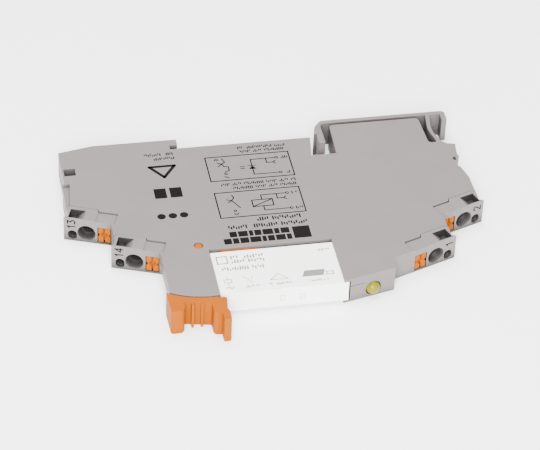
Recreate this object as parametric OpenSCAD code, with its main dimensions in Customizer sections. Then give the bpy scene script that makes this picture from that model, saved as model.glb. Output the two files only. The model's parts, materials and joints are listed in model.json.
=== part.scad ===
// Slim interface relay module for a 35 mm top-hat rail.
// The module lies on its side. X runs along its height, +Y points to the rail,
// Z runs through its narrow width. The origin is the centre of the rail seat.

/* [Housing] */
// Width of the module, through both side faces
module_w = 6.2; // [6.2:0.1:6.8]
// Thickness of the two side plates
side_t = 0.95; // [0.8:0.05:1]
// Gap along the parting lines of the terminal blocks
parting = 0.1; // [0.06:0.01:0.14]
// Width of the rail that the module sits on
rail_w = 35; // [34.8:0.1:35.2]
// Diameter of the snap pegs that hold the two shells together
peg_d = 1.6; // [1.2:0.1:2]

/* [Terminals] */
// Slope of the four terminal faces
terminal_angle = 20; // [18:0.5:21]
// Diameter of the wire funnel at the face
funnel_d = 4.1; // [3.9:0.1:4.2]
// Diameter of the wire bore behind the funnel
wire_d = 2.7; // [2.2:0.1:3]
// Diameter of the test probe hole
probe_d = 1.8; // [1.5:0.1:1.9]
// Width of a release button across the face
button_w = 2.7; // [2.4:0.1:2.8]
// Height of a release button through the module
button_h = 3.7; // [3.2:0.1:3.8]
// Travel of a release button
button_travel = 1; // [0.6:0.1:1.2]

/* [Relay] */
// Length of the plug-in relay
relay_l = 28; // [27.6:0.1:28]
// Thickness of the plug-in relay
relay_w = 5; // [4.6:0.1:5.05]
// Height of the plug-in relay without its pins
relay_h = 13.9; // [13:0.1:14]
// Wall thickness of the relay cover
relay_wall = 0.45; // [0.35:0.05:0.5]

/* [Lever and latch] */
// Diameter of the ejector lever's pivot stubs
pivot_d = 2; // [1.6:0.1:2.2]
// Diameter of the indicator lens
lens_d = 3.2; // [2.8:0.1:3.3]
// Travel of the rail latch when it is pulled open
latch_travel = 1.5; // [1.4:0.1:1.5]

/* [Hidden] */

$fn = 48;
eps = 0.01;

half = module_w / 2;
inner = half - side_t;
// Height of the parting plane between the two shells
split_z = -0.25;
rail_half = rail_w / 2;

// Terminals: which side they face (-1 left, 1 right) and the outer tip of the face
T13 = [-1, -44.45, -21.25];
T14 = [-1, -35.45, -32.4];
TA1 = [1, 39.6, -39.6];
TA2 = [1, 48.72, -28.2];
TERMINALS = [T13, T14, TA1, TA2];
block_end = 11.35;
block_deep = 4.1;
block_shallow = 3.45;
probe_u = 1.95;
probe_z = -1.5;
mouth_deep = 0.8;
wire_u = 5.1;
button_u = 9.1;
hole_z = -0.6;
funnel_deep = 2;
marker_deep = 1.7;
button_gap = 0.17;
button_len = 7.4;
head_len = 3.2 - button_travel;
shank_h = 2.7;
clamp_z = [-2.05, 1.15];

// Ejector lever
pivot = [-16.8, -35.1];
hub_r = 2.3;
tongue_r = 16.9;
handle_r = 17.25;
stem_z = [-2, -0.45];
stub_chamfer = 0.3;

// Relay bay and relay
relay_x = -14.7;
relay_y = -37.2;
relay_gap = 0.15;
bay_left = relay_x - relay_gap;
bay_right = relay_x + relay_l + 2 * relay_gap;
window_right = 12.2;
window_top = -36.75;
relay_half = relay_w / 2;
bay_z = relay_half + 0.1;
contact_pins = [-11.5, -6.5];
coil_pins = [6.2, 11.2];
pin_tip = -33.6;
base_t = 1;
coil_y = -46.9;

// Indicator
lens_at = [18.97, -49.6, -0.9];
seam_z = 1;
led_face = 13.2;

// Rail foot: back of its nose, and the wall that it moves up to
nose_back = 18;
foot_wall = nose_back + latch_travel + 0.1;

// Circuit board
board_z = [-1.3, -0.5];

function term_xy(t, u, v) = [
    t[1] - t[0] * (u * cos(terminal_angle) + v * sin(terminal_angle)),
    t[2] - u * sin(terminal_angle) + v * cos(terminal_angle)
];

function arc(c, r, from, to, steps) = [
    for (i = [0:steps]) let (a = from + (to - from) * i / steps) c + r * [cos(a), sin(a)]
];

module slab(z0, z1) translate([0, 0, z0]) linear_extrude(z1 - z0) children();

// Places a shape drawn with x along the face from its tip and y into the housing
module at_terminal(t) {
    translate([t[1], t[2], 0])
        if (t[0] > 0) mirror([1, 0, 0]) rotate([0, 0, -terminal_angle]) children();
        else rotate([0, 0, -terminal_angle]) children();
}

// A bent strip standing on edge: thickness t along a path, from z0 to z1
module strip(path, t, z0, z1) {
    slab(z0, z1) {
        for (i = [0:len(path) - 2]) {
            step = path[i + 1] - path[i];
            translate(path[i]) rotate(atan2(step[1], step[0]))
                translate([0, -t / 2]) square([norm(step), t]);
        }
        for (p = path) translate(p) circle(d = t, $fn = 24);
    }
}

// ---- outlines -------------------------------------------------------------

rail_side = concat(
    [[-43.4, -18], [-43.3, -9.75], [-42.9, -9.6], [-42.9, 1.9], [-35, 3.5], [-15.8, 3.4],
     [-15.8, 1.25], [-rail_half - 0.15, 1.25], [-rail_half - 0.15, -0.15],
     [-15.7, -0.15], [-15.7, 0], [14.8, 0], [13.8, -6.75], [foot_wall, -6.75]],
    arc([foot_wall + 1.3, 3.05], 0.9, 180, 90, 6),
    arc([40.2, 3.05], 0.9, 90, 0, 6),
    arc([42.3, -4.8], 0.9, 180, 270, 5),
    [[44.6, -5.7], [45.4, -6.5], [47.4, -6.95], [47.05, -9], [46.9, -10.8], [47.1, -11.6],
     [46.7, -12.9], [46.15, -14.2], [45.95, -14.9], [46.45, -15.5],
     [47.5, -19.6], [47.55, -23.6]]
);

right_side = [
    term_xy(TA2, -0.12, 3.4), term_xy(TA2, 0.87, 0.69), [TA2[1], TA2[2]],
    term_xy(TA2, 10.7, 0), [38.4, -33.2], [38.4, -38.4], term_xy(TA1, 0.87, 0.69),
    [TA1[1], TA1[2]], term_xy(TA1, 15.9, 0), [24.3, -45.6], [23.95, -48.45],
    [window_right, -51.2]
];

left_side = [
    term_xy(T14, 10.7, 0), [T14[1], T14[2]], term_xy(T14, 0.87, 0.69), [-34.45, -31],
    [-34.45, -25.4], term_xy(T13, 10.7, 0), [T13[1], T13[2]], term_xy(T13, 0.87, 0.69)
];

cover_front = concat(
    [[window_right, window_top], [bay_left, window_top]],
    arc(pivot, tongue_r, 276.6, 239.8, 12),
    [[-25.3, -36.3]]
);

shell_front = [[window_right, -50.2], [bay_left, -50.2], [-22.8, -49.8], [-22.8, -38.5], [-24.4, -36.6]];

module cover_outline() polygon(concat(rail_side, right_side, cover_front, left_side));
module shell_outline() polygon(concat(rail_side, right_side, shell_front, left_side));

// Space for a terminal block, open to the outside
module block_cut() {
    for (t = TERMINALS) at_terminal(t) slab(-half - 1, half + 1) polygon([
        [-2, -2], [10.75, -2], [10.75, 0], [block_end + parting, 0.25 - parting],
        [block_end + parting, block_shallow + parting], [7.1 + parting, block_shallow + parting],
        [6.75 + parting, block_deep + parting], [0.6, block_deep + parting], [-1.4, 2.5]
    ]);
}

// Hollow that holds the clamps, bars and circuit board
module main_cavity() {
    polygon([
        [-41.5, -9.2], [44, -9.2], [44, -17], [45.9, -20], [46.2, -23.6],
        term_xy(TA2, 0.8, 3.9), term_xy(TA2, 6.5, 3.9), term_xy(TA2, 7.4, 3.3),
        term_xy(TA2, 11.1, 3.3), [37.2, -33.4], [37.2, -37],
        term_xy(TA1, 0.8, 3.9), term_xy(TA1, 6.5, 3.9), term_xy(TA1, 7.4, 3.3),
        term_xy(TA1, 12.4, 3.3), term_xy(TA1, 12.6, 1.1), [25.2, -43.7], [22.9, -47.4],
        [14.6, -49.3], [14.6, -38], [bay_left, -38], [bay_left, -36.2], [-22.2, -36.2],
        [-22.2, -32.4],
        term_xy(T14, 11.1, 3.3), term_xy(T14, 7.4, 3.3), term_xy(T14, 6.5, 3.9),
        term_xy(T14, 0.8, 3.9), [-33.4, -27.4], [-31.4, -21.2],
        term_xy(T13, 11.1, 3.3), term_xy(T13, 7.4, 3.3), term_xy(T13, 6.5, 3.9),
        term_xy(T13, 0.8, 3.9), [-41.9, -17]
    ]);
}

// Hollows beside the rail: behind the fixed lip and in the foot plate
module rail_cavities() {
    polygon([[-38.6, -7.9], [-38.6, 1.4], [-34.8, 2.3], [-19.2, 2.3], [-19.2, -7.9]]);
    polygon([[-17.9, -7.9], [-17.9, -1.6], [13, -1.6], [12.4, -7.9]]);
    polygon([[foot_wall + 1.5, -7.9], [foot_wall + 1.9, 2.6], [40, 2.6], [40.8, -7.9]]);
}

// Places of the pegs that hold the shells together
pegs = [[-40.2, -12.6], [-27.5, -10.9], [-22.5, -19.5], [0, -14], [13.8, -27], [42, -11.6]];

// Bay that the ejector lever swings in, open to the left
module lever_bay() {
    polygon([
        [-27, -37.1], [-24.6, -36.6], [-22.2, -35.2], [-22.2, -32.4], [-13, -32.4],
        [-13, -37], [bay_left, -41], [bay_left, -54], [-27, -54]
    ]);
}

// Hollow under the tongue of the cover
module tongue_hollow() {
    polygon([
        [-24.5, -37.3], [-22.2, -35.2], [-22.2, -32.4], [-13, -32.4], [-13, -37.4],
        [-15.75, -41], [-15.75, -51], [-24.5, -49.1]
    ]);
}

module peg_circles(d) for (p = pegs) translate(p) circle(d = d);

module lens_cut() {
    translate(lens_at) rotate([90, 0, led_face])
        translate([0, 0, -3.6]) cylinder(d = lens_d + 0.4, h = 6);
}

// ---- housing --------------------------------------------------------------

module housing_shell() {
    color("#b7b3af") difference() {
        slab(-half, split_z) shell_outline();
        block_cut();
        slab(-inner, 1) difference() {
            union() {
                main_cavity();
                rail_cavities();
                lever_bay();
            }
            peg_circles(peg_d + 1.4);
        }
        // relay bay, open at the front
        translate([bay_left, -61, -bay_z]) cube([bay_right - bay_left, 61 - 36.4, 6]);
        lens_cut();
        slab(-inner, 1) peg_circles(peg_d + 0.06);
        translate([pivot[0], pivot[1], -half + 0.35]) cylinder(d = pivot_d + 0.1, h = 3);
    }
}

module housing_cover() {
    color("#b7b3af") {
        difference() {
            slab(split_z, half) cover_outline();
            block_cut();
            slab(-1, inner) {
                main_cavity();
                rail_cavities();
                tongue_hollow();
            }
            // relay bay under the window's right edge
            translate([bay_left, -61, -1]) cube([bay_right - bay_left, 61 - 36.95, 1 + bay_z]);
            lens_cut();
            translate([pivot[0], pivot[1], -1]) cylinder(d = pivot_d + 0.1, h = 6);
            // marker groove in the left edge
            translate([-42.5, -6.8, half - 2.2]) cube([2.6, 2.5, 3]);
            // eyelet near the right edge
            translate([45.5, -12.9, -1]) cube([0.7, 1.2, 5]);
            // seam beside the indicator
            translate([window_right, -51.2, seam_z]) rotate([0, 0, led_face]) translate([-1, -1, 0])
                cube([5.8, 1.35, 0.14]);
            // lowered strip along the left edge
            slab(half - 0.8, half + 1)
                polygon([[-44, -17.9], [-42.6, -17.9], [-41.7, -9.75], [-44, -9.75]]);
        }
        slab(-inner + 0.15, inner + eps) peg_circles(peg_d);
    }
}

// ---- rail foot ------------------------------------------------------------

module rail_latch() {
    color("#b7b3af") slab(-half, half) polygon(concat(
        [[15.9, 1.25], [16.6, 3.9]],
        arc([18.9, 4.7], 1.3, 150, 90, 5),
        arc([46.9, 5.1], 0.9, 90, 0, 4),
        [[47.75, 2.65], [46.55, 2.65], [46.5, 4.9]],
        arc([19.1, 3.9], 1, 90, 170, 5),
        [[nose_back, 3.4], [nose_back, -2.2], [16.55, -2.2], [16.55, 1.25]]
    ));
}

// S-shaped rib between the foot and the housing
module latch_spring() {
    color("#b7b3af") slab(-half, half) polygon([
        [43, 4.87], [44.15, 4.87], [43.85, 3.6], [43.45, 0.9], [43.35, -0.5], [43.85, -3.7],
        [44.4, -5], [44.6, -5.67], [43.1, -5.67], [43.25, -4.9], [42.95, -3.1], [42.45, -0.3], [42.8, 2.8]
    ]);
}

// ---- terminals ------------------------------------------------------------

module terminal_block(t) {
    color("#c4c0bc") at_terminal(t) difference() {
        slab(-half, half) polygon([
            [0, 0], [10.7, 0], [block_end, 0.25], [block_end, block_shallow - parting],
            [7.1, block_shallow - parting], [6.75, block_deep], [0.6, block_deep], [-0.12, 3.4], [0.87, 0.69]
        ]);
        // wire funnel and bore
        translate([wire_u, 0, hole_z]) rotate([-90, 0, 0]) {
            translate([0, 0, -eps]) cylinder(d1 = funnel_d, d2 = wire_d + 0.2, h = funnel_deep + eps);
            cylinder(d = wire_d, h = 6);
        }
        // probe hole with a tall flared mouth
        translate([probe_u, -1, probe_z]) rotate([-90, 0, 0]) cylinder(d = probe_d, h = 7);
        for (dz = [-0.2, 0.2]) translate([probe_u, 0, probe_z + dz]) rotate([-90, 0, 0])
            translate([0, 0, -eps]) cylinder(d1 = probe_d + 0.25, d2 = probe_d - 0.1, h = mouth_deep);
        // button guide
        translate([button_u - button_w / 2 - button_gap, -1, hole_z - button_h / 2 - button_gap])
            cube([button_w + 2 * button_gap, 7, button_h + 2 * button_gap]);
        // marker recess with a sloping floor
        translate([0, 3.2, 0]) rotate([90, 0, 0]) linear_extrude(2.95) polygon([
            [0.95, half - marker_deep], [2.2, half - marker_deep], [4.4, half + eps],
            [4.4, half + 1], [0.95, half + 1]
        ]);
        // lowered top behind the button
        translate([0, 6, 0]) rotate([90, 0, 0]) linear_extrude(7) polygon([
            [6.9, half + eps], [7.3, half - 0.28], [12, half - 0.28], [12, half + 1], [6.9, half + 1]
        ]);
    }
}

module release_button(t) {
    color("#ee9442") at_terminal(t) translate([button_u, 0, hole_z]) difference() {
        union() {
            translate([-button_w / 2, 0.1, -button_h / 2]) cube([button_w, head_len, button_h]);
            translate([-button_w / 2, 0.1, -shank_h / 2]) cube([button_w, button_len, shank_h]);
            translate([-button_w / 2 - 0.6, 4.7, -1.2]) cube([1, button_len - 4.6, 2.4]);
        }
        // driver slot, dimple and thumb notches in the head
        translate([-0.2, -1, -button_h / 2 - 1]) cube([0.4, 1.8, button_h + 2]);
        translate([0, -1, 0]) rotate([-90, 0, 0]) cylinder(d1 = 3, d2 = 0.5, h = 2);
        for (x = [-1, 1]) translate([x * button_w / 2, -1, 0]) rotate([-90, 0, 0]) cylinder(d = 0.8, h = 2);
    }
}

// Leaf spring: back leg, round bend, free leg that presses the wire on the bar
module clamp_spring(t) {
    color("#c9ccd0") at_terminal(t) strip(concat(
        [[3.75, 11.6]], arc([9.4, 10.35], 1.25, 90, -90, 8), [[7.2, 8.75], [4.15, 8.35]]
    ), 0.25, clamp_z[0] + 0.2, clamp_z[1] - 0.2);
}

// Bar along the wire, from the clamp of terminal t on to path
module current_bar(t, path, z0, z1) {
    color("#c9924f") {
        strip([term_xy(t, 3.3, 4.4), term_xy(t, 3.3, 12)], 0.5, clamp_z[0], clamp_z[1]);
        strip(concat([term_xy(t, 3.3, 12)], path), 0.5, z0, z1);
    }
}

// Fork that grips one relay pin at x
module pin_fork(x) {
    for (s = [-1, 1]) translate([x + s * 0.5 - 0.2, -35.4, -1.1]) cube([0.4, 2.5, 2.2]);
    translate([x - 0.7, -33.3, -1.1]) cube([1.4, 0.5, 2.2]);
}

module current_bar_13() {
    current_bar(T13, [[-24.6, -13.6], [-14.5, -22.5], [contact_pins[1], -30], [contact_pins[1], -33]],
        -1.1, 1.1);
    color("#c9924f") pin_fork(contact_pins[1]);
}

module current_bar_14() {
    current_bar(T14, [[-20.3, -22.9], [-18.4, -26.7], [contact_pins[0], -30.6], [contact_pins[0], -33.05]],
        -1.1, 1.1);
    color("#c9924f") pin_fork(contact_pins[0]);
}

module current_bar_a1() current_bar(TA1, [[31.4, -27.6], [29.6, -26.2]], board_z[1], 1.1);

module current_bar_a2() current_bar(TA2, [[41, -16.4], [40.2, -14.2]], board_z[1], 1.1);

// Link from a relay coil pin at x to the circuit board
module coil_contact(x, y) {
    color("#c9924f") {
        pin_fork(x);
        strip([[x, -33], [x, y], [17.4, y]], 0.5, board_z[1], 1.1);
    }
}

// ---- electronics ----------------------------------------------------------

module circuit_board() {
    color("#2f6b3f") slab(board_z[0], board_z[1]) polygon([
        [15.6, -45.6], [21, -44.6], [24, -41], [24, -31.2], [30.2, -28.6], [32.2, -19.4],
        [39, -15.8], [41.6, -15.4], [41.6, -13.6], [34, -11], [15.6, -11]
    ]);
}

module bridge_rectifier() {
    color("#26262a") {
        translate([19, -26.5, board_z[1] + 0.15]) cube([4.7, 3.9, 2.2]);
        for (x = [19.6, 22.3]) for (y = [-27.4, -22.6])
            translate([x, y, board_z[1]]) cube([0.7, 0.9 + eps, 0.5]);
    }
}

module series_resistor() {
    color("#1f1f22") translate([18.6, -36.8, board_z[1]]) cube([1.6, 3.2, 0.55]);
    color("#d4d4d4") for (y = [-37.2, -33.6 - eps])
        translate([18.6, y, board_z[1]]) cube([1.6, 0.4 + eps, 0.6]);
}

module suppressor_diode() {
    color("#2a2a2e") translate([21.5, -36.4, board_z[1]]) cube([1.6, 2.7, 1]);
    color("#d4d4d4") for (y = [-36.9, -33.7 - eps])
        translate([21.8, y, board_z[1]]) cube([1, 0.5 + eps, 0.4]);
}

module status_led() {
    color("#f2eed0") translate([17.2, -45, board_z[1]]) cube([2, 1.2, 0.8]);
}

module indicator_lens() {
    color("#cdd05a") translate(lens_at) rotate([90, 0, led_face]) rotate_extrude()
        polygon(concat([[0, -3.2], [lens_d / 2, -3.2]], arc([0, -0.35], lens_d / 2, 0, 90, 9)));
}

// ---- ejector lever --------------------------------------------------------

module lever_handle() {
    polygon(concat(
        arc(pivot, handle_r, 237.5, 273, 10),
        [[-13.8, -52.75], [-13.55, -53], [-14, -56.3], [-13.65, -57.3], [-13.65, -59.5],
         [-13.95, -59.8], [-15.2, -59.8], [-15.3, -57.4]],
        arc([-16.1, -56.5], 0.9, 270, 190, 4),
        [[-17.05, -54.2], [-22.7, -53.1]],
        arc([-24.1, -54.7], 1.2, 0, -90, 4),
        [[-25.6, -55.9], [-25.9, -55.5]]
    ));
}

module ejector_lever() {
    color("#ee9442") {
        slab(-half, half) lever_handle();
        for (x = [-21.1, -19.1]) translate([x - 0.25, -54.5, -half]) cube([0.5, 1.6, module_w]);
        slab(stem_z[0], stem_z[1]) polygon([
            [-19, -35.4], [-15, -36.6], [-15.7, -40], [-15.7, -53.2], [-24.2, -52.2], [-24.2, -49.4]
        ]);
        // hub, pivot stubs and the fork that straddles the relay pins
        translate([pivot[0], pivot[1], stem_z[0]]) cylinder(r = hub_r, h = 4);
        translate([pivot[0], pivot[1], -half + 0.4]) rotate_extrude() polygon([
            [0, 0], [pivot_d / 2, 0], [pivot_d / 2, module_w - 0.4 - stub_chamfer],
            [pivot_d / 2 - stub_chamfer, module_w - 0.4], [0, module_w - 0.4]
        ]);
        for (z = [stem_z[0], 0.85]) slab(z, z + 1.15) polygon([
            pivot + [0, -1.9], pivot + [13.8, -1.95], pivot + [13.8, -0.9],
            pivot + [3.8, -0.6], pivot + [1.6, 1.2], pivot + [0, 1.2]
        ]);
        // rib along the upper arm, in the gap behind the relay
        slab(1.8, 2.65) polygon([
            pivot + [4.5, -1.91], pivot + [12.6, -1.94], pivot + [12.6, -1.8], pivot + [4.5, -1.77]
        ]);
    }
}

// ---- plug-in relay --------------------------------------------------------

module relay_box(wall, y0, y1) {
    translate([relay_x + wall, y0, -relay_half + wall])
        cube([relay_l - 2 * wall, y1 - y0, relay_w - 2 * wall]);
}

module relay_cover() {
    color("#f1efec") difference() {
        relay_box(0, relay_y - relay_h, relay_y);
        relay_box(relay_wall, relay_y - relay_h + relay_wall, relay_y + 1);
    }
}

module relay_pin(x) {
    translate([x - 0.25, relay_y - base_t - 0.3, -0.5]) cube([0.5, pin_tip - relay_y + base_t + 0.3, 1]);
}

module relay_pins() {
    color("#cfd0d2") for (x = concat(contact_pins, coil_pins)) relay_pin(x);
}

module relay_base() {
    color("#e4e2de") difference() {
        relay_box(relay_wall, relay_y - base_t, relay_y - 0.1);
        for (x = concat(contact_pins, coil_pins)) relay_pin(x);
    }
}

module along_coil(x) translate([x, coil_y, 0]) rotate([0, 90, 0]) children();

module relay_bobbin() {
    color("#3b3b40") difference() {
        union() {
            along_coil(2) cylinder(r = 1.1, h = 9.4);
            for (x = [2, 10.8]) translate([x, coil_y - 2, -1.95]) cube([0.6, 4, 3.9]);
        }
        along_coil(0) cylinder(r = 0.8, h = 14);
    }
}

module relay_winding() {
    color("#b5622f") along_coil(2.6) difference() {
        cylinder(r = 1.85, h = 8.2);
        translate([0, 0, -1]) cylinder(r = 1.12, h = 11);
    }
}

module relay_core() {
    color("#9a9da1") {
        along_coil(1.6) cylinder(r = 0.78, h = 10.4);
        along_coil(1) cylinder(r = 1.5, h = 0.7);
    }
}

module relay_yoke() {
    color("#9a9da1") difference() {
        union() {
            translate([11.4, -49, -1.9]) cube([0.9, 5.6, 3.8]);
            translate([0.6, -44.3, -1.9]) cube([11.7, 0.9, 3.8]);
        }
        along_coil(11) cylinder(r = 0.8, h = 2);
    }
}

// Plate that swings on the end of the yoke, drawn to the core when energised
module relay_armature() {
    color("#a7aaae") {
        translate([-0.25, -49, -1.7]) cube([0.6, 8.8, 3.4]);
    }
}

// Card between the armature and the contact blade
module relay_pusher() {
    color("#d8d5cf") translate([-6.25, -42.6, -1.2]) cube([5.8, 0.7, 2.4]);
}

module relay_contact_blade() {
    color("#c9924f") {
        translate([contact_pins[1] - 0.12, -46, -1.4]) cube([0.24, 7, 2.8]);
        translate([contact_pins[1] - 0.45, -44.6, 0]) rotate([0, 90, 0]) cylinder(r = 0.9, h = 0.9);
    }
}

module relay_fixed_contacts() {
    color("#c9924f") {
        translate([-8.6, -46.4, -1.4]) cube([0.4, 3.4, 2.8]);
        translate([-11.7, -43.4, -1.4]) cube([3.5, 0.4, 2.8]);
        translate([-11.7, -43.4, -1.4]) cube([0.4, 4.8, 2.8]);
        translate([-8.2 - eps, -44.6, 0]) rotate([0, 90, 0]) cylinder(r = 0.9, h = 0.65);
    }
}

housing_shell();
housing_cover();
rail_latch();
latch_spring();
terminal_block(T13);  // terminal_block_13
terminal_block(T14);  // terminal_block_14
terminal_block(TA1);  // terminal_block_a1
terminal_block(TA2);  // terminal_block_a2
release_button(T13);  // release_button_13
release_button(T14);  // release_button_14
release_button(TA1);  // release_button_a1
release_button(TA2);  // release_button_a2
clamp_spring(T13);  // clamp_spring_13
clamp_spring(T14);  // clamp_spring_14
clamp_spring(TA1);  // clamp_spring_a1
clamp_spring(TA2);  // clamp_spring_a2
current_bar_13();
current_bar_14();
current_bar_a1();
current_bar_a2();
coil_contact(coil_pins[1], -31.8);  // coil_contact_plus
coil_contact(coil_pins[0], -29.6);  // coil_contact_minus
circuit_board();
bridge_rectifier();
series_resistor();
suppressor_diode();
status_led();
indicator_lens();
ejector_lever();
relay_cover();
relay_base();
relay_pins();
relay_bobbin();
relay_winding();
relay_core();
relay_yoke();
relay_armature();
relay_pusher();
relay_contact_blade();
relay_fixed_contacts();
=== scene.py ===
import json
import math

import bmesh
import bpy
from mathutils import Matrix, Vector


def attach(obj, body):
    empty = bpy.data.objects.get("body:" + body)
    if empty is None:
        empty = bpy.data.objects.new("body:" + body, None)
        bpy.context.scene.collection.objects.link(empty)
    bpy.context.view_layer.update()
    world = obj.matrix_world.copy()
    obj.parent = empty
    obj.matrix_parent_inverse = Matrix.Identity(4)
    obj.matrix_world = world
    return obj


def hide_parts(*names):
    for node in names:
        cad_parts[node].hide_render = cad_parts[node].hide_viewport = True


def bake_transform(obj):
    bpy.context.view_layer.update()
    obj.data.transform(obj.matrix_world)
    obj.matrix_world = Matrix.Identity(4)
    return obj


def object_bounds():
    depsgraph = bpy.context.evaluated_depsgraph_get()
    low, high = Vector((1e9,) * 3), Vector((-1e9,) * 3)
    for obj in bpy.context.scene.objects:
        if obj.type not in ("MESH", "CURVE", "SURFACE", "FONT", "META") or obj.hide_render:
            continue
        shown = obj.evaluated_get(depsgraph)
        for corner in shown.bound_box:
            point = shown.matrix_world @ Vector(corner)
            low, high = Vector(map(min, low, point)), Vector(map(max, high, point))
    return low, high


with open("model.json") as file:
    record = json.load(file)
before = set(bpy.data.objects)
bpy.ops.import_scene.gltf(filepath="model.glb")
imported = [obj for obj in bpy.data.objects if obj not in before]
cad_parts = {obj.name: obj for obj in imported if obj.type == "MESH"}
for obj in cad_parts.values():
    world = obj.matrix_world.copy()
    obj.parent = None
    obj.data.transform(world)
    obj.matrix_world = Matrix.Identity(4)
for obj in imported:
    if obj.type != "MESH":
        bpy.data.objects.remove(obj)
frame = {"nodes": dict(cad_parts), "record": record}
packed_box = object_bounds()
scene = bpy.context.scene
MM = 0.001

# ---- camera ----------------------------------------------------------------

AZIMUTH, ELEVATION, ROLL = (math.radians(a) for a in (-12.15, 38.78, 2.56))
TARGET = Vector((0.67, -26.38, -0.1)) * MM
DISTANCE = 539.3 * MM
LENS, SENSOR = 162.8, 36


def camera():
    """The view from the front, above and a little to the left."""
    data = bpy.data.cameras.new("camera")
    data.lens, data.sensor_width, data.sensor_fit = LENS, SENSOR, "HORIZONTAL"
    data.clip_start, data.clip_end = 0.01, 10
    cam = bpy.data.objects.new("camera", data)
    scene.collection.objects.link(cam)
    ca, sa, ce, se = math.cos(AZIMUTH), math.sin(AZIMUTH), math.cos(ELEVATION), math.sin(ELEVATION)
    right = Vector((ca, sa, 0))
    back = Vector((sa * ce, -ca * ce, se))
    up = back.cross(right)
    c, s = math.cos(ROLL), math.sin(ROLL)
    right, up = c * right + s * up, c * up - s * right
    turn = Matrix((right, up, back)).transposed().to_4x4()
    cam.matrix_world = Matrix.Translation(TARGET + back * DISTANCE) @ turn
    scene.camera = cam


# ---- materials -------------------------------------------------------------


def scaled(rgb, factor):
    return tuple(min(1, c * factor) for c in rgb) + (1,)


class Shader:
    """A principled material under construction."""

    def __init__(self, name):
        self.material = bpy.data.materials.new(name)
        self.material.use_nodes = True
        self.tree = self.material.node_tree
        self.surface = self.tree.nodes["Principled BSDF"]
        self.at = self.node("ShaderNodeTexCoord").outputs["Object"]

    def node(self, kind, **values):
        n = self.tree.nodes.new(kind)
        for k, v in values.items():
            setattr(n, k, v)
        return n

    def join(self, a, b):
        self.tree.links.new(a, b)

    def noise(self, scale, detail=3):
        """Noise with a given number of features per millimetre."""
        n = self.node("ShaderNodeTexNoise")
        n.inputs["Scale"].default_value = scale / MM
        n.inputs["Detail"].default_value = detail
        self.join(self.at, n.inputs["Vector"])
        return n.outputs["Fac"]

    def spread(self, value, low, high, start=0.3, end=0.7):
        """Maps start..end of a value to low..high."""
        n = self.node("ShaderNodeMapRange")
        for k, v in (("From Min", start), ("From Max", end), ("To Min", low), ("To Max", high)):
            n.inputs[k].default_value = v
        self.join(value, n.inputs["Value"])
        return n.outputs["Result"]

    def edges(self):
        """1 on flat areas, lower within a fifth of a millimetre of a corner."""
        rounded = self.node("ShaderNodeBevel", samples=4)
        rounded.inputs["Radius"].default_value = 0.2 * MM
        dot = self.node("ShaderNodeVectorMath", operation="DOT_PRODUCT")
        self.join(rounded.outputs["Normal"], dot.inputs[0])
        self.join(self.node("ShaderNodeNewGeometry").outputs["True Normal"], dot.inputs[1])
        return dot.outputs["Value"]

    def mix(self, factor, a, b):
        n = self.node("ShaderNodeMix", data_type="RGBA")
        self.join(factor, n.inputs["Factor"])
        for socket, value in ((n.inputs[6], a), (n.inputs[7], b)):
            if isinstance(value, tuple):
                socket.default_value = value
            else:
                self.join(value, socket)
        return n.outputs[2]


def plastic(name, rgb, rough=0.5, tone=0.04, grain=0.012, edge_highlight=0.25, shine=0.4, painted_shade_depth=0.0,
            low=0.38, high=0.86):
    """Moulded plastic: fine grain, faint cloudiness, a painted highlight paler along the edges, painted
    shade darkening the recesses.

    Painted shade darkens recesses by up to the given depth fraction where the surroundings' openness falls
    from high to low.
    """
    s = Shader(name)
    cloud = s.mix(s.spread(s.noise(0.12, 2), 0, 1), scaled(rgb, 1 - tone), scaled(rgb, 1 + tone))
    speck = s.mix(s.spread(s.noise(6, 1), 0, 0.4), cloud, scaled(rgb, 1 - 2 * tone))
    # painted highlight: within a fifth of a millimetre of a corner the colour is lightened towards a paler
    # copy
    edge = s.spread(s.edges(), edge_highlight, 0, 0.8, 0.99)
    colour = s.mix(edge, speck, scaled([c * 1.3 + 0.02 for c in rgb], 1))
    # painted shade: where ambient occlusion finds the surroundings closed, the colour darkens towards a
    # darker copy
    if painted_shade_depth:
        shade = s.node("ShaderNodeAmbientOcclusion", samples=6)
        shade.inputs["Distance"].default_value = 4 * MM
        colour = s.mix(s.spread(shade.outputs["AO"], 0, 1, low, high), scaled(rgb, 1 - painted_shade_depth), colour)
    s.join(colour, s.surface.inputs["Base Color"])
    s.join(s.spread(s.noise(1.1, 4), rough - 0.06, rough + 0.06), s.surface.inputs["Roughness"])
    s.surface.inputs["Specular IOR Level"].default_value = shine
    bump = s.node("ShaderNodeBump")
    bump.inputs["Strength"].default_value = 0.5
    bump.inputs["Distance"].default_value = grain * MM
    s.join(s.noise(7, 2), bump.inputs["Height"])
    s.join(bump.outputs["Normal"], s.surface.inputs["Normal"])
    return s.material


def metal(name, rgb, rough=0.3, streak=0.08):
    """Stamped strip: bright, with rolling streaks and a little tarnish."""
    s = Shader(name)
    base, dull = scaled(rgb, 1), scaled(rgb, 0.72)
    s.surface.inputs["Metallic"].default_value = 1
    s.join(s.mix(s.spread(s.noise(0.5, 3), 0, 1), base, dull), s.surface.inputs["Base Color"])
    stretch = s.node("ShaderNodeMapping")
    stretch.inputs["Scale"].default_value = (0.15, 1, 6)
    s.join(s.at, stretch.inputs["Vector"])
    n = s.node("ShaderNodeTexNoise")
    n.inputs["Scale"].default_value = 2 / MM
    s.join(stretch.outputs["Vector"], n.inputs["Vector"])
    s.join(s.spread(n.outputs["Fac"], rough - streak, rough + streak), s.surface.inputs["Roughness"])
    return s.material


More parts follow.
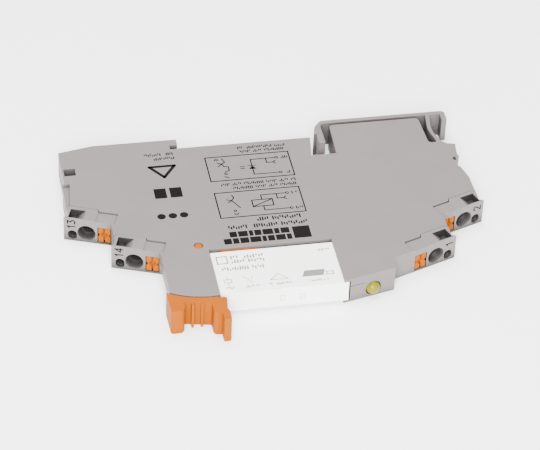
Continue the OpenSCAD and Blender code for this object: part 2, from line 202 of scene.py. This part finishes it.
def lens_material():
    """Tinted clear plastic with a slightly cloudy body."""
    s = Shader("lens_plastic")
    s.join(
        s.mix(s.spread(s.noise(0.6, 2), 0, 1), (0.13, 0.125, 0.0, 1), (0.19, 0.18, 0.002, 1)),
        s.surface.inputs["Base Color"],
    )
    s.surface.inputs["Subsurface Weight"].default_value = 0.35
    s.surface.inputs["Subsurface Radius"].default_value = (0.0012, 0.0012, 0.0003)
    s.surface.inputs["Transmission Weight"].default_value = 0.1
    s.surface.inputs["Coat Weight"].default_value = 0.06
    s.surface.inputs["Specular IOR Level"].default_value = 0.15
    s.join(s.spread(s.noise(1.5, 2), 0.16, 0.28), s.surface.inputs["Roughness"])
    return s.material


HOUSING = (0.123, 0.109, 0.106)
# in these materials the darkening of recesses is painted shade
# in these materials the paler edges are a painted highlight
MATERIALS = {
    "housing_plastic": plastic("housing_plastic", HOUSING, 0.52, painted_shade_depth=0.66, low=0.34, high=0.68),
    "terminal_plastic": plastic("terminal_plastic", scaled(HOUSING, 1.03)[:3], 0.5, edge_highlight=0.1, painted_shade_depth=0.9,
                                low=0.5),
    "orange_plastic": plastic("orange_plastic", (0.265, 0.062, 0), 0.5, edge_highlight=0.08, shine=0.05,
                              painted_shade_depth=0.12),
    "relay_white": plastic("relay_white", (0.9, 0.88, 0.86), 0.36, tone=0.012, grain=0.006, edge_highlight=0.1),
    "component_black": plastic("component_black", (0.02, 0.02, 0.023), 0.45, grain=0.02),
    "led_package": plastic("led_package", (0.8, 0.77, 0.6), 0.35),
    "bobbin_plastic": plastic("bobbin_plastic", (0.04, 0.04, 0.045), 0.5),
    "board_laminate": plastic("board_laminate", (0.025, 0.12, 0.045), 0.35, tone=0.1),
    "spring_steel": metal("spring_steel", (0.6, 0.61, 0.63), 0.28),
    "contact_brass": metal("contact_brass", (0.65, 0.36, 0.13), 0.32),
    "tinned_pin": metal("tinned_pin", (0.68, 0.68, 0.7), 0.25),
    "copper_winding": metal("copper_winding", (0.5, 0.12, 0.04), 0.35),
    "soft_iron": metal("soft_iron", (0.35, 0.36, 0.38), 0.4),
    "lens_plastic": lens_material(),
}
INK = plastic("print_ink", (0.007, 0.0065, 0.006), 0.8, tone=0.15, grain=0.004, edge_highlight=0, shine=0.02)
FAINT = plastic("faint_print", (0.15, 0.147, 0.145), 0.7, tone=0.05, grain=0.004, edge_highlight=0,
                shine=0.1)


# ---- shapes ----------------------------------------------------------------


def link(name, bm, material, body):
    """A finished mesh as an object that rides on a body."""
    mesh = bpy.data.meshes.new(name)
    bmesh.ops.recalc_face_normals(bm, faces=bm.faces)
    bm.to_mesh(mesh)
    bm.free()
    mesh.materials.append(material)
    obj = bpy.data.objects.new(name, mesh)
    scene.collection.objects.link(obj)
    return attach(obj, body) if body else obj


def prism(bm, outline, z0, z1, place=None):
    """A closed prism over an outline in millimetres, optionally placed by a matrix."""
    place = place or Matrix.Identity(4)
    low, high = ([bm.verts.new((place @ Vector((x, y, z))) * MM) for x, y in outline] for z in (z0, z1))
    bm.faces.new(low[::-1])
    bm.faces.new(high)
    for i in range(len(outline)):
        j = (i + 1) % len(outline)
        bm.faces.new((low[i], low[j], high[j], high[i]))


def stroke(bm, path, width, z0, z1, place=None, closed=False):
    """Straight bars of one width along a path."""
    points = [Vector(p) for p in path]
    if closed:
        points.append(points[0])
    for a, b in zip(points, points[1:]):
        along = (b - a).normalized() * width / 2
        side = Vector((-along.y, along.x))
        a, b = a - along * 0.8, b + along * 0.8
        prism(bm, [a - side, b - side, b + side, a + side], z0, z1, place)


def ring(centre, r, start=0, end=360, steps=28):
    return [
        (centre[0] + r * math.cos(math.radians(start + (end - start) * i / steps)),
         centre[1] + r * math.sin(math.radians(start + (end - start) * i / steps)))
        for i in range(steps + 1)
    ]


def soften(obj, width, segments=2):
    """Rounded moulding edges on a piece."""
    weld = obj.modifiers.new("weld", "WELD")
    weld.merge_threshold = 1e-6
    bevel = obj.modifiers.new("edges", "BEVEL")
    bevel.width, bevel.segments, bevel.limit_method = width * MM, segments, "ANGLE"
    bevel.angle_limit = math.radians(35)
    bevel.use_clamp_overlap = True
    bevel.harden_normals = True


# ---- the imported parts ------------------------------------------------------

# edge radius of each piece in millimetres
SOFT_EDGES = {"housing_shell": 0.1, "housing_cover": 0.1, "rail_latch": 0.15, "ejector_lever": 0.15,
              "relay_cover": 0.2}
SMALL_EDGE = 0.07


def dress():
    """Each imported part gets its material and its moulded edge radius."""
    slots = {s["node"]: s["material_slot"] for s in frame["record"]["subparts"]}
    for name, obj in frame["nodes"].items():
        obj.data.materials.clear()
        obj.data.materials.append(MATERIALS[slots[name]])
        small = name.startswith(("terminal", "release"))
        width = SOFT_EDGES.get(name, SMALL_EDGE if small else 0)
        if width:
            soften(obj, width)


# ---- rib between the foot and the housing ----------------------------------

# both sides of the S-shaped rib, from the housing to the foot
RIB_LEFT = [(43.15, -5.76), (43.3, -5.2), (43.3, -4.6), (43.0, -3.4), (42.65, -1.8), (42.45, -0.4),
            (42.52, 0.8), (42.68, 2.0), (42.85, 3.2), (42.95, 4.2), (43.0, 4.98)]
RIB_RIGHT = [(44.75, -5.76), (44.45, -5.2), (44.2, -4.6), (43.8, -3.4), (43.45, -1.8), (43.33, -0.4),
             (43.42, 0.8), (43.63, 2.0), (43.82, 3.2), (44.0, 4.2), (44.2, 4.98)]
RIB_HALF = 3.05


def rib():
    """The S-shaped rib in place of the latch spring, reaching from the housing at one end to the foot at
    the other.
    """
    bm = bmesh.new()
    h = RIB_HALF
    rings = [
        [bm.verts.new(Vector(p) * MM) for p in ((*a, -h), (*b, -h), (*b, h), (*a, h))]
        for a, b in zip(RIB_LEFT, RIB_RIGHT)
    ]
    bm.faces.new(rings[0][::-1])
    bm.faces.new(rings[-1])
    for low, high in zip(rings, rings[1:]):
        for i in range(4):
            bm.faces.new((low[i], low[(i + 1) % 4], high[(i + 1) % 4], high[i]))
    obj = link("latch_rib", bm, MATERIALS["housing_plastic"], None)
    soften(obj, 0.12)
    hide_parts("latch_spring")
    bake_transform(obj)


# ---- printing --------------------------------------------------------------

# print starts just under a face and ends just above it
SUNK, PROUD = -0.02, 0.012
COVER_TOP, RELAY_TOP = 3.1, 2.5
INK_Z = (COVER_TOP + SUNK, COVER_TOP + PROUD)
RELAY_Z = (RELAY_TOP + SUNK, RELAY_TOP + PROUD)
LINE = 0.26
# lower and upper end of each kind of tick, as parts of the line's height
TICKS = ((-0.5, 0.5), (-0.5, 0.2), (-0.2, 0.5), (-0.5, 0.0), (0.0, 0.5), (-0.5, 0.5), (-0.3, 0.3))


def filler(bm, x0, x1, y, height, width, z, seed=1):
    """A line of separate upright ticks of mixed height where the part carries small print."""
    x, n = x0, seed
    while x < x1:
        n = (n * 37 + 11) % 101
        if n % 9 == 5:
            x += height * 0.5
            continue
        low, high = (y + height * t for t in TICKS[n % len(TICKS)])
        prism(bm, [(x, low), (x + width * 1.35, low), (x + width * 1.35, high), (x, high)], *z)
        x += width * 2.1


def frame_box(bm, x0, x1, y0, y1, width, z):
    """The outline of a rectangle."""
    stroke(bm, [(x0, y0), (x1, y0), (x1, y1), (x0, y1)], width, *z, closed=True)


def terminals_in_drawing(bm, top, low):
    """The two supply lines of a circuit drawing, with their branch."""
    for y in (top, low):
        stroke(bm, [(-0.3, y), (5.3, y)], LINE, *INK_Z)
        stroke(bm, ring((5.7, y), 0.32, steps=10), 0.2, *INK_Z)
        filler(bm, 6.7, 8.0, y, 0.95, 0.2, INK_Z, seed=int(-y))
    stroke(bm, [(3.2, top), (3.2, top - 1.6), (4.6, top - 1.6), (5.2, top - 1.1)], LINE, *INK_Z)
    stroke(bm, [(4.6, top - 1.6), (5.2, top - 2.1)], LINE, *INK_Z)


def circuit_print():
    """Two plain circuit drawings, each in its frame."""
    bm = bmesh.new()
    # semiconductor version
    frame_box(bm, -10.4, 8.65, -13.3, -4.5, 0.3, INK_Z)
    terminals_in_drawing(bm, -6.4, -11.9)
    stroke(bm, [(-0.3, -6.4), (-0.3, -11.9)], LINE, *INK_Z)
    prism(bm, [(-1.2, -9.9), (0.6, -9.9), (-0.3, -8.7)], *INK_Z)
    stroke(bm, [(-1.2, -8.6), (0.6, -8.6)], 0.22, *INK_Z)
    for y in (-8.8, -9.5):
        stroke(bm, [(-3.0, y), (-2.1, y)], LINE, *INK_Z)
    stroke(bm, [(-6.7, -5.2), (-6.2, -6.6), (-7.0, -7.2), (-6.6, -8.2), (-5.6, -8.4), (-5.7, -9.8),
                (-6.7, -10.2)], LINE, *INK_Z)
    stroke(bm, [(-7.0, -7.2), (-8.0, -6.7)], LINE, *INK_Z)
    stroke(bm, [(-7.0, -7.2), (-7.9, -8.1)], LINE, *INK_Z)
    stroke(bm, ring((-6.6, -10.9), 0.3, steps=10), 0.2, *INK_Z)
    filler(bm, -8.9, -7.4, -5.5, 0.85, 0.18, INK_Z, 5)
    filler(bm, -7.1, -6.1, -12.2, 0.85, 0.18, INK_Z, 8)
    # coil version
    frame_box(bm, -10.4, 8.65, -26.5, -17.6, 0.3, INK_Z)
    terminals_in_drawing(bm, -19.5, -24.9)
    frame_box(bm, -2.6, 2.0, -23.4, -21.1, 0.28, INK_Z)
    stroke(bm, [(-2.5, -23.3), (1.9, -21.2)], LINE, *INK_Z)
    stroke(bm, [(-0.3, -19.5), (-0.3, -21.1)], LINE, *INK_Z)
    stroke(bm, [(-0.3, -23.4), (-0.3, -24.9)], LINE, *INK_Z)
    stroke(bm, [(-6.7, -18.7), (-6.4, -19.7), (-7.0, -20.6), (-5.5, -23.4)], LINE, *INK_Z)
    stroke(bm, [(-7.0, -20.6), (-8.1, -20.2)], LINE, *INK_Z)
    stroke(bm, [(-7.0, -20.6), (-7.9, -21.3)], LINE, *INK_Z)
    stroke(bm, ring((-6.8, -24.3), 0.3, steps=10), 0.2, *INK_Z)
    filler(bm, -7.2, -6.2, -25.5, 0.85, 0.18, INK_Z, 4)
    link("circuit_print", bm, INK, "housing")


def label_print():
    """Rows of ticks, bars and plain marks on the housing cover."""
    bm = bmesh.new()
    for x0, x1, y, h, w, seed in (
        (-2.5, 8.3, -1.8, 0.95, 0.2, 3), (-2.6, 8.3, -3.2, 0.95, 0.2, 7),
        (-8.4, 8.3, -14.8, 0.95, 0.2, 2), (-6.4, 8.3, -16.3, 0.95, 0.2, 9),
        (-2.6, 8.3, -27.8, 1.3, 0.26, 6), (-9.4, 8.2, -30.0, 1.3, 0.26, 4),
        (-23.9, -17.6, -1.8, 1.0, 0.21, 8), (-22.4, -17.3, -3.4, 1.0, 0.21, 5),
    ):
        filler(bm, x0, x1, y, h, w, INK_Z, seed)
    # bold two-row bar pattern and a solid block
    for y0, first, widths in (
        (-33.35, 3.7, (1.9, 1.1, 2.3, 1.5, 0.9, 2.1, 1.6)),
        (-35.6, 3.9, (1.1, 2.1, 1.5, 0.9, 2.4, 1.9, 1.3, 1.7)),
    ):
        x = first
        for w in widths:
            prism(bm, [(x - w, y0), (x, y0), (x, y0 + 1.85), (x - w, y0 + 1.85)], *INK_Z)
            x -= w + 0.3
    prism(bm, [(4.4, -35.5), (8.2, -35.5), (8.2, -31.5), (4.4, -31.5)], *INK_Z)
    # three plain marks: triangle, two blocks, three dots
    stroke(bm, [(-23.3, -6.2), (-17.6, -6.2), (-20.45, -10.2)], 0.75, *INK_Z, closed=True)
    prism(bm, [(-23.6, -17.7), (-20.9, -17.7), (-20.9, -14.2), (-23.6, -14.2)], *INK_Z)
    prism(bm, [(-20.1, -17.7), (-17.4, -17.7), (-17.4, -14.2), (-20.1, -14.2)], *INK_Z)
    for x in (-23.2, -20.7, -18.2):
        prism(bm, ring((x, -24.1), 0.95, end=345, steps=23), *INK_Z)
    link("label_print", bm, INK, "housing")


def relay_print():
    """Faint rows of ticks, outlines and a bar on the relay's side and front."""
    bm = bmesh.new()
    z = RELAY_Z
    frame_box(bm, -13.6, -11.4, -41.2, -38.9, 0.28, z)
    filler(bm, -10.6, -3.2, -39.4, 1.1, 0.3, z, 3)
    filler(bm, -10.6, -3.2, -40.8, 1.1, 0.3, z, 6)
    filler(bm, -13.6, -3.9, -43.1, 1.2, 0.26, z, 9)
    frame_box(bm, -13.2, -11.6, -47.6, -46.6, 0.16, z)
    stroke(bm, [(-12.4, -46.6), (-12.4, -45.8)], 0.16, *z)
    stroke(bm, [(-12.4, -47.6), (-12.4, -48.4)], 0.16, *z)
    stroke(bm, [(-8.9, -46.0), (-8.3, -46.6), (-7.3, -48.2)], 0.16, *z)
    stroke(bm, [(-7.0, -46.2), (-7.4, -47.0)], 0.16, *z)
    prism(bm, [(3.6, -47.9), (8.3, -47.9), (8.9, -45.9), (4.4, -45.9)], *z)
    frame_box(bm, 9.1, 10.5, -47.7, -46.8, 0.2, z)
    stroke(bm, [(-3.3, -47.9), (-1.4, -46.1), (0.6, -47.9)], 0.18, *z, closed=True)
    for x0, x1 in ((-13.5, -11.4), (-8.9, -6.1), (-3.8, 1.0), (5.0, 9.0)):
        filler(bm, x0, x1, -49.3, 0.8, 0.18, z, int(x1) + 20)
    filler(bm, 8.2, 11.0, -39.4, 0.8, 0.16, z, 5)
    front = Matrix.Translation((0, -51.1, 0)) @ Matrix.Rotation(math.radians(90), 4, "X")
    for x in (-1.2, 3.2):
        outline = [(x - 0.5, -0.7), (x + 0.5, -0.7), (x + 0.5, 0.5), (x - 0.5, 0.5)]
        stroke(bm, outline, 0.1, SUNK, PROUD, front, closed=True)
    link("relay_print", bm, FAINT, "relay")


# strokes of each digit in a box one unit high
DIGITS = {
    "1": [[(0.15, 0.75), (0.35, 1.0), (0.35, 0.0)]],
    "2": [[(0.02, 0.8), (0.12, 0.97), (0.35, 1.0), (0.55, 0.85), (0.55, 0.65), (0.02, 0.0), (0.6, 0.0)]],
    "3": [[(0.02, 0.95), (0.5, 0.97), (0.25, 0.58), (0.5, 0.45), (0.55, 0.2), (0.35, 0.02), (0.02, 0.08)]],
    "4": [[(0.45, 0.0), (0.45, 1.0), (0.02, 0.32), (0.62, 0.32)]],
}
SLOPE = math.radians(20)
# side, and the outer end of each terminal's face
TERMINALS = {"13": (-1, -44.45, -21.25), "14": (-1, -35.45, -32.4),
             "1": (1, 39.6, -39.6), "2": (1, 48.72, -28.2)}


def numerals():
    """The terminal numbers beside the probe holes, read from below upwards."""
    bm = bmesh.new()
    for text, (side, x, y) in TERMINALS.items():
        along = Vector((-side * math.cos(SLOPE), -math.sin(SLOPE), 0))
        inward = Vector((-side * math.sin(SLOPE), math.cos(SLOPE), 0))
        up = along * side
        right = Vector((0, 0, 1))
        middle = Vector((x, y, 0)) + along * 1.7
        place = Matrix.Translation(middle) @ Matrix((right, up, -inward)).transposed().to_4x4()
        start = 0.2 if len(text) == 2 else 0.9
        for i, digit in enumerate(text):
            for path in DIGITS[digit]:
                points = [(start + 1.35 * i + 1.7 * px, 1.75 * (py - 0.5)) for px, py in path]
                stroke(bm, points, 0.28, SUNK, PROUD, place)
    link("terminal_numbers", bm, INK, "housing")


# ---- studio ----------------------------------------------------------------


FLOOR_HALF, FLOOR_GAP = 1.5, 0.05 * MM
WORLD_STRENGTH = 1.3
# name, place in metres, size and power
LIGHTS = (
    ("key", (-0.16, -0.74, 0.5), 0.45, 34),
    ("top", (-0.1, 0.15, 0.9), 0.6, 16),
)


def studio():
    """A pale floor, an even sky and two soft lights."""
    bm = bmesh.new()
    bmesh.ops.create_grid(bm, x_segments=1, y_segments=1, size=FLOOR_HALF)
    floor = link("floor", bm, None, None)
    floor.location.z = packed_box[0].z - FLOOR_GAP
    s = Shader("floor_paint")
    s.join(s.mix(s.spread(s.noise(0.02), 0, 1), (0.93, 0.93, 0.93, 1), (0.95, 0.95, 0.95, 1)),
           s.surface.inputs["Base Color"])
    s.surface.inputs["Roughness"].default_value = 0.9
    floor.data.materials.clear()
    floor.data.materials.append(s.material)

    world = bpy.data.worlds.new("studio")
    scene.world = world
    world.use_nodes = True
    sky = world.node_tree.nodes["Background"]
    sky.inputs["Color"].default_value = (1, 1, 1, 1)
    sky.inputs["Strength"].default_value = WORLD_STRENGTH
    for name, place, size, power in LIGHTS:
        data = bpy.data.lights.new(name, "AREA")
        data.size, data.energy = size, power
        light = bpy.data.objects.new(name, data)
        light.location = place
        light.rotation_euler = (TARGET - Vector(place)).to_track_quat("-Z", "Y").to_euler()
        scene.collection.objects.link(light)


camera()
dress()
rib()
circuit_print()
label_print()
relay_print()
numerals()
studio()
